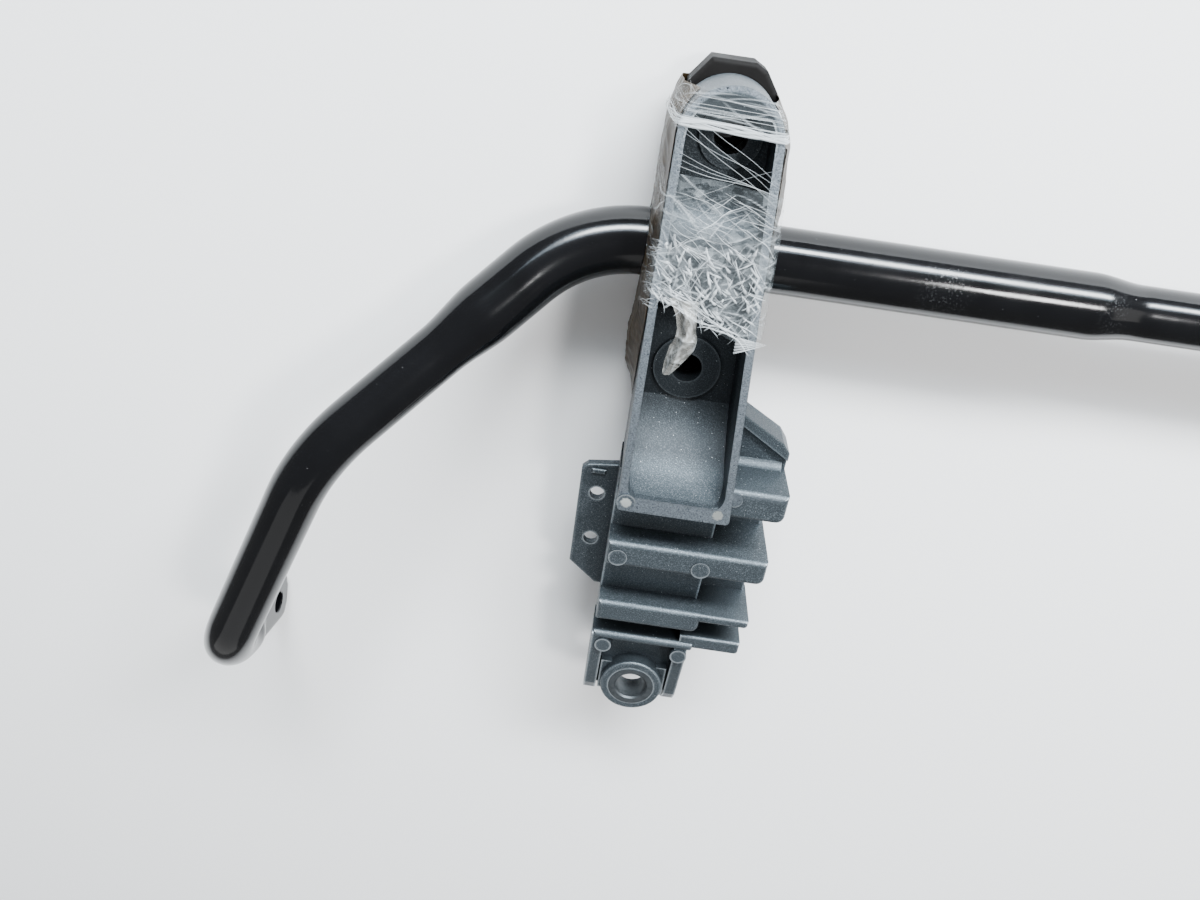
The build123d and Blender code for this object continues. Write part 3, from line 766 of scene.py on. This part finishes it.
def ribbon(path, widths, outward, bow=0.3):
    """Points and faces of a narrow strip along path, raised in the middle by bow times its width."""
    path, outward = np.asarray(path, float), np.asarray(outward, float)
    ahead = np.gradient(path, axis=0)
    sideways = np.cross(ahead, outward)
    sideways /= np.maximum(np.linalg.norm(sideways, axis=1, keepdims=True), 1e-6)
    half = np.asarray(widths)[:, None] / 2
    ridge = path + outward * bow * half * 2
    strip = np.stack([path - sideways * half, ridge, path + sideways * half], axis=1)
    return strip.reshape(-1, 3), grid_faces(len(path), 3)


def join_strips(name, side, strips, material, rng, faint, strong):
    """Many strips as one piece: each of a random whiteness from faint to strong, less at its edges."""
    points, faces, whites = [], [], []
    for strip, strip_faces in strips:
        base = len(points)
        points.extend(strip.tolist())
        faces += [tuple(base + i for i in face) for face in strip_faces]
        along = np.sin(pi * np.linspace(0.03, 0.97, len(strip) // 3)) ** 0.5
        whites.extend((rng.uniform(faint, strong) * along[:, None] * np.array([0.4, 1.0, 0.4])).ravel())
    piece = new_object(name, side, points, faces, material)
    give(piece, "crease", whites)
    give(piece, "cloud", np.full(len(points), 0.3))
    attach(piece, f"bracket_{side}")
    return piece


def stray_strand(rng, start, slant, length, width, lift, steps=22):
    """A thin gathered strand of film lying on the wrap."""
    run = np.linspace(-0.5, 0.5, steps) * length
    slant = radians(slant)
    bow = rng.normal(0, 0.012) * run ** 2 + rng.uniform(0.1, 0.5) * np.sin(run / rng.uniform(1.5, 3.5))
    across = start[0] + run * cos(slant) - bow * sin(slant)
    y = start[1] + run * sin(slant) + bow * cos(slant)
    taper = 0.25 + 0.75 * np.sqrt(np.clip(1 - (2 * run / length) ** 2, 0, 1))
    arch = lift + 0.5 * np.cos(pi * run / length) + 0.25 * np.sin(run / rng.uniform(1.0, 2.5))
    path, outward = over_channel(across, y, arch)
    return ribbon(path, width * taper * (1 + 0.3 * np.sin(run * 1.7)), outward, 0.35)


LOWER_STRANDS = 170         # strands and leaves in the tangle over the lower half
THIN_STRANDS = 40           # how many of them are long and thin


def make_strands(side, rng, material):
    """Loose strands: a dense tangle over the lower half, longer diagonals above it."""
    strips = []
    for k in range(LOWER_STRANDS):
        start = (rng.uniform(-22, 21), rng.uniform(-22, 14))
        start = (start[0], max(start[1], film_foot_at(start[0]) + 1.0))
        slant = rng.choice((-28, -38, -48, 42, 66, -72)) + rng.normal(0, 9)
        if k < THIN_STRANDS:
            length = rng.uniform(7, 17)
            width = rng.uniform(0.12, 0.3)
        else:
            # Short wide leaves of white film that stand partly for painted glints on crumpled film
            length = rng.uniform(2.5, 8.0)
            width = rng.uniform(0.35, 1.25)
        strips.append(stray_strand(rng, start, slant, length, width, 0.9))
    for _ in range(34):
        start = (rng.uniform(-19, 19), rng.uniform(10, 34))
        slant = rng.choice((-27, -33, 36, -20)) + rng.normal(0, 6)
        strips.append(stray_strand(rng, start, slant, rng.uniform(9, 26), rng.uniform(0.1, 0.4), 0.8))
    for step in np.linspace(0, 1, 13):
        x = -12 + 28 * step
        start = (x, film_foot_at(x) + rng.uniform(0.5, 7.0))
        slant = -24 + rng.normal(0, 4)
        strips.append(stray_strand(rng, start, slant, rng.uniform(12, 28), rng.uniform(0.3, 0.9), 1.1))
    for y0, y1, width in WINDOW_STREAKS:
        across = np.linspace(-21, 20, 40)
        line = y0 + (y1 - y0) * (across + 21) / 41 + 0.4 * np.sin(across / 5)
        path, outward = over_channel(across, line, 0.3)
        strips.append(ribbon(path, np.full(40, width), outward))
    return join_strips(f"film_strands_{side}", side, strips, material, rng, 0.15, 1.0)


# Tight streaks across the window above the bush: y at the outboard rim, y at the inboard rim, width
WINDOW_STREAKS = [
    (57.0, 33.0, 0.22), (60.0, 36.5, 0.16), (55.0, 40.0, 0.12), (47.5, 35.5, 0.18), (45.0, 36.5, 0.12),
    (64.0, 41.0, 0.12), (42.5, 37.0, 0.26), (28.0, 47.5, 0.1),
]


def make_rope(side, rng, material):
    """The gathered white turn below the round end: strands that cross each other, round the whole bracket."""
    strips = []
    for k in range(10):
        across = np.linspace(-62, 60, 110)
        middle = 58.2 - 0.035 * across
        weave = 1.3 * np.sin(across / rng.uniform(8, 16) + rng.uniform(0, 6))
        width = rng.uniform(0.35, 1.1) * (1 + 0.25 * np.sin(across / 3 + k))
        path, outward = over_channel(across, middle + weave, 0.15 + 0.05 * k + 0.1 * np.sin(across / 4 + k))
        strips.append(ribbon(path, width, outward, 0.25))
    for _ in range(7):
        y = rng.uniform(60, 68)
        across = np.linspace(-60, 58, 90)
        line = y - rng.uniform(0.02, 0.05) * across
        path, outward = over_channel(across, line, 0.35 + 0.15 * np.sin(across / 6))
        strips.append(ribbon(path, np.full(90, rng.uniform(0.1, 0.3)), outward))
    return join_strips(f"film_rope_{side}", side, strips, material, rng, 0.45, 1.0)


def make_wisps(side, rng, material):
    """Frayed hairs of film that stand off the outboard rim, and the loose end at the inboard one."""
    strips = []
    for _ in range(22):
        y = rng.uniform(-14, 14)
        reach = rng.uniform(4, 11)
        out = np.linspace(0, 1, 16)
        across = CHANNEL_LEFT + 1.5 - reach * out
        line = y + rng.uniform(-5, 3) * out ** 1.5 + 0.5 * np.sin(out * rng.uniform(3, 8))
        path, outward = over_channel(across, line, 0.6 + rng.uniform(0.5, 3.0) * out ** 1.6)
        strips.append(ribbon(path, 0.22 * (1.1 - out), outward))
    for k in range(6):
        out = np.linspace(0, 1, 16)
        across = 15 + (9.5 + 0.8 * k) * out
        line = -21.5 - 1.2 * k * (1 - out) - 1.0 * out
        path, outward = over_channel(across, line, 1.0 + 0.3 * k)
        flat = path.copy()
        flat[:, 2] = rim_z(line) + 1.0 + 0.2 * k - 1.5 * out ** 2
        flat[:, 0] = across
        strips.append(ribbon(flat, (1.4 - 0.1 * k) * (1.1 - out), np.tile((0, 0, 1.0), (16, 1))))
    return join_strips(f"film_wisps_{side}", side, strips, material, rng, 0.4, 0.9)


def film_foot_at(x):
    """The wide film's lower edge across the channel: it slants down inboard."""
    return np.interp(x, (-23.3, -14.3, -5.2, 6.3, 23.5), (-8.0, -12.0, -16.3, -21.5, -23.8))


def girth_line(*heights):
    """An edge given by its height at evenly spaced shares of the girth."""
    return lambda share: np.interp(share, np.linspace(0, 1, len(heights)), heights)


def make_tail(side, rng, material):
    """The loose end, twisted to a waist and opened again, hanging down the channel."""
    stops = np.array([
        (-9, -8, 45.2), (-6.5, -17, 44), (-4.6, -28, 40), (-7.6, -39, 35.5), (-10.6, -50, 30.5),
    ], float)
    steps, width_steps = 70, 15
    s = np.linspace(0, 4, steps)
    path = np.stack([np.interp(s, range(5), stops[:, k]) for k in range(3)], axis=1)
    kernel = np.ones(9) / 9
    for k in range(3):
        padded = np.pad(path[:, k], 4, mode="edge")
        path[:, k] = np.convolve(padded, kernel, mode="valid")
    width = np.interp(s, (0, 0.8, 1.5, 2.4, 3.3, 4.0), (12.0, 9.0, 8.0, 12.0, 9.0, 4.0))
    twist = np.radians(np.interp(s, (0, 1.3, 2.2, 4.0), (0, 8, 26, 48)))
    cross = np.linspace(-0.5, 0.5, width_steps)
    crumple, crest = folds(s[:, None] * 11 + 0 * cross, cross * 9 + 0 * s[:, None], rng, 40,
                           (0, 44, -4.5, 4.5), (8, -18, 30, 75), (4, 16), (0.5, 1.2))
    sideways = np.stack([np.cos(twist), 0.35 * np.sin(twist), np.sin(twist)], axis=1)
    upward = np.stack([-np.sin(twist), 0 * twist, np.cos(twist)], axis=1)
    points = (path[:, None] + sideways[:, None] * (cross[None, :] * width[:, None])[..., None]
              + upward[:, None] * (0.6 * crumple + 0.9 * np.cos(cross * 9)[None, :])[..., None])
    piece = new_object(f"film_twist_{side}", side, points, grid_faces(steps, width_steps), material)
    give(piece, "crease", crest)
    give(piece, "cloud", 0.75 + 0.35 * ripple(s[:, None] * 11, cross * 9, rng, 5.0))
    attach(piece, f"bracket_{side}")
    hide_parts(f"film_tail_{side}")


def make_film(side, clear_film, white_film, tail_film):
    rng = np.random.default_rng(11)
    wide = film_sheet(
        f"film_wide_{side}", side, clear_film, rng,
        low=girth_line(-6.0, -7.0, -8.5, -16.3, -22.5, -24.0, -24.0),
        top=girth_line(41.0, 41.0, 40.0, 38.8, 36.0, 34.5, 34.0),
        grid=(130, 230), lift=0.1, sag=1.3, depth=skirt_depth,
        creasing=[
            (46, (-24, 24, -24, 12), (-26, -34, 36, 60, -62), (6, 20), (0.5, 1.3)),
            (30, (-24, 24, 8, 40), (-28, -34, 34, -22), (10, 30), (0.4, 1.1)),
            (26, (-60, -24, -24, 40), (0, 10, -12), (10, 30), (0.5, 1.4)),
            (26, (24, 60, -24, 40), (0, 10, -12), (10, 30), (0.5, 1.4)),
        ],
        cloud=lambda x, y: np.where(
            np.abs(x) < 23, np.interp(y, (-24, 4, 14, 30, 40), (0.7, 0.8, 1.0, 0.8, 0.45)), 0.2),
    )
    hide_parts(f"film_wrap_{side}")
    lower = film_sheet(
        f"film_lower_{side}", side, clear_film, rng,
        low=girth_line(-8.5, -9.5, -12.5, -17.5, -22.0, -23.5, -23.5),
        top=girth_line(9.0, 11.0, 13.0, 12.0, 17.0, 22.0, 22.0),
        grid=(80, 150), lift=0.8, sag=0.3, depth=lambda y: 0 * y + 9.0,
        creasing=[(85, (-24, 24, -24, 20), (-24, -30, 40, 66, -58), (4, 15), (0.4, 1.1))],
        cloud=lambda x, y: 0.6 + 0 * x,
    )
    crown = film_sheet(
        f"film_crown_{side}", side, clear_film, rng,
        low=girth_line(58.5, 57.5, 56.8, 56.5, 56.0, 56.0, 56.0),
        top=girth_line(67.0, 68.5, 71.0, 70.6, 69.8, 66.0, 64.0),
        grid=(40, 200), lift=0.05, sag=0.2, depth=lambda y: rim_z(y) + 14.0,
        creasing=[(24, (-50, 50, 56, 70), (-3, -7, 2, -12), (20, 60), (0.3, 0.8))],
        cloud=lambda x, y: 0.12 + 0 * x,
    )
    strands = make_strands(side, rng, white_film)
    wisps = make_wisps(side, rng, white_film)
    rope = make_rope(side, rng, white_film)
    make_tail(side, rng, tail_film)


# ---------------------------------------------------------------- packing tape
TAPE_THICKNESS = 0.16
BAR_CLEARANCE = 17.0


def open_for_bar(piece, side):
    """Cut the tape back to a round hole where the bar comes through it."""
    centre = BUSH[side]
    radius = BAR_CLEARANCE * MM
    shape = bmesh.new()
    shape.from_mesh(piece.data)

    def away(vertex):
        return sqrt((vertex.co.y - centre.y) ** 2 + (vertex.co.z - centre.z) ** 2)

    inner = [v for v in shape.verts if away(v) < radius - 1.2 * MM]
    bmesh.ops.delete(shape, geom=inner, context="VERTS")
    for vertex in shape.verts:
        gap = away(vertex)
        if gap < radius + 0.5 * MM and vertex.is_boundary:
            vertex.co.y = centre.y + (vertex.co.y - centre.y) * radius / gap
            vertex.co.z = centre.z + (vertex.co.z - centre.z) * radius / gap
    shape.to_mesh(piece.data)
    shape.free()


def tape_piece(name, side, material, points, crest, rows, columns):
    piece = new_object(name, side, points, grid_faces(rows, columns), material)
    give(piece, "crease", crest)
    open_for_bar(piece, side)
    thicken = piece.modifiers.new("thickness", "SOLIDIFY")
    thicken.thickness = TAPE_THICKNESS * MM
    thicken.offset = 0
    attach(piece, f"bracket_{side}")
    return piece


def outer_tape(side, material):
    """The wrinkled tape down the outboard side, from just under the rim to the back of the clamp."""
    rng = np.random.default_rng(5)
    rows, columns = 190, 64
    y = np.linspace(-67.5, 69.0, rows)[:, None]
    down = np.linspace(0, 1, columns)[None, :]
    top = np.minimum(rim_z(y) - 1.2, np.interp(y, (-68, -40, -20, 42, 56, 69), (18, 30, 43, 40, 34, 20)))
    top = top + 1.1 * ripple(y, 0 * y, rng, 9.0)
    bottom = -21.6 + 0 * y
    z = top + (bottom - top) * down
    edge = np.interp(
        y, (-68, -62, -54, -46, -38, -29, -18, 12, 23, 40, 55, 64, 73),
        (-23.4, -25.2, -28.6, -29.4, -28.4, -27.2, -27.2, -27.3, -26.7, -27.2, -26.7, -24.4, -20.5))
    wall = np.where(y > CHANNEL_TOP_Y, left_edge(y), CHANNEL_LEFT) - 0.5
    belly = ease(down / 0.42) * ease((1 - down) / 0.1)
    x = wall + (edge - wall) * belly
    height, crest = folds(z, y + 0 * z, rng, 150, (-22, 45, -68, 73), (90, 70, 105, 20, -35),
                          (6, 34), (0.6, 2.0))
    waves = ripple(z * 0.4, y, rng, 17.0) + 0.5 * ripple(z * 0.7, y, rng, 6.0)
    x = x - (0.4 * height + 0.55 * waves) * (0.15 + 0.85 * ease(down / 0.25))
    x = np.minimum(x, wall)
    points = np.stack([x, y + 0 * z, z], axis=-1)
    piece = tape_piece(f"tape_outer_{side}", side, material, points, crest * 0.8, rows, columns)
    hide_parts(f"packing_tape_{side}")


def inner_tape(side, material):
    """The narrow visible edge of tape along the inboard side."""
    rng = np.random.default_rng(8)
    rows, columns = 130, 44
    y = np.linspace(-40, 68, rows)[:, None]
    down = np.linspace(0, 1, columns)[None, :]
    top = np.minimum(rim_z(y) - 5.0, 31.0)
    z = top + (-20.5 - top) * down
    wall = right_edge(y) + 0.5
    edge = np.interp(y, (-40, 27, 50, 60, 68), (27.4, 27.4, 25.2, 22.0, 16.5))
    x = wall + (np.maximum(edge, wall + 0.4) - wall) * ease(down / 0.5)
    height, crest = folds(z, y + 0 * z, rng, 80, (-22, 33, -40, 68), (90, 75, 110, 25),
                          (6, 30), (0.6, 1.6))
    x = x + 0.25 * height * ease(down / 0.3) + 0.25 * ripple(z * 0.4, y, rng, 14.0) * ease(down / 0.3)
    points = np.stack([np.maximum(x, wall), y + 0 * z, z], axis=-1)
    faces_out = points[:, ::-1]
    piece = tape_piece(f"tape_inner_{side}", side, material, faces_out, crest[:, ::-1] * 0.8, rows, columns)


# ---------------------------------------------------------------- putting it together
def paint_node(node, material):
    mesh = frame["nodes"][node].data
    mesh.materials.clear()
    mesh.materials.append(material)


paint = bar_finish()
aluminium = cast_finish()
coat = clamp_finish()
rubber = rubber_finish()
steel = steel_finish()
tape = tape_finish()
clear_film = film_finish("stretch_film", (0.34, 0.38, 0.4), 0.025, 0.6)
white_film = film_finish("stretch_film_gathered", (0.7, 0.74, 0.76), 0.1, 0.75)
tail_film = film_finish("stretch_film_twisted", (0.7, 0.69, 0.64), 0.25, 0.9)

make_bar(paint)
for side in SIDES:
    paint_node(f"bracket_casting_{side}", aluminium)
    paint_node(f"rear_clamp_{side}", coat)
    paint_node(f"bush_front_{side}", rubber)
    paint_node(f"bush_rear_{side}", rubber)
    paint_node(f"eye_sleeve_{side}", steel)
    outer_tape(side, tape)
    inner_tape(side, tape)
    make_film(side, clear_film, white_film, tail_film)
